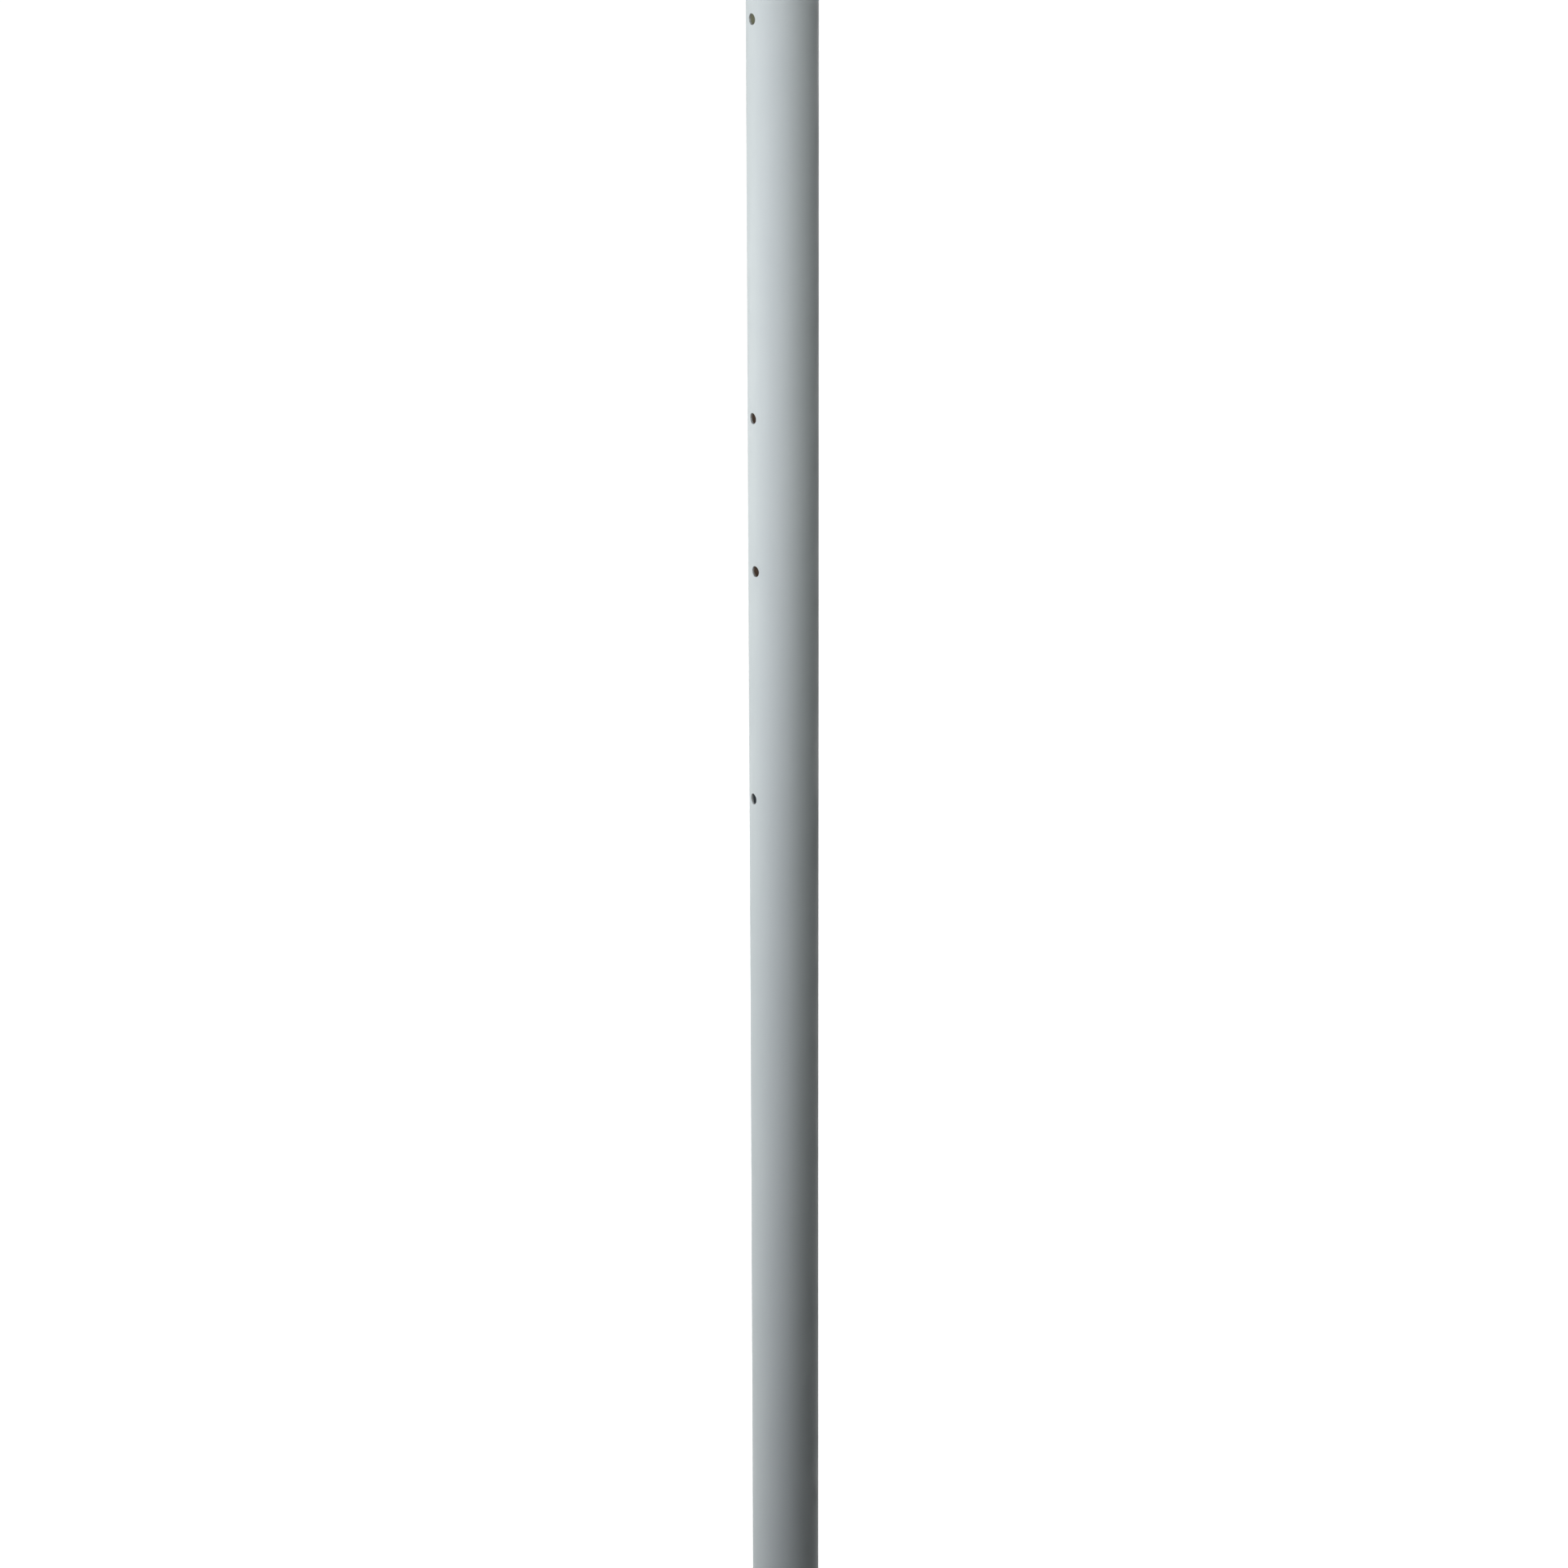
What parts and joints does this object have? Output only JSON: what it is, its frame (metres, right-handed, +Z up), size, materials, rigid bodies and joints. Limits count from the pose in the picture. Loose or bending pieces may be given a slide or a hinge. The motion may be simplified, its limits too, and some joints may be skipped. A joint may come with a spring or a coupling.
{
  "type": "fence post",
  "caption": "Round tubular steel line post for a wire fence, drilled through for its wires or bolts and closed by a domed cap.",
  "frame": {"origin": "centre of the foot's end face, on the ground line", "axes": "+Z up along the post; the near mouth of the top hole faces -Y"},
  "size_m": [0.0484, 0.0483, 1.5114],
  "materials": {
    "light_grey_coat": "satin light grey powder coat on steel, fine orange peel, bare steel in the drilled holes and on the sawn end"
  },
  "bodies": {
    "root": {"post_tube": "light_grey_coat", "top_cap": "light_grey_coat"}
  },
  "joints": []
}
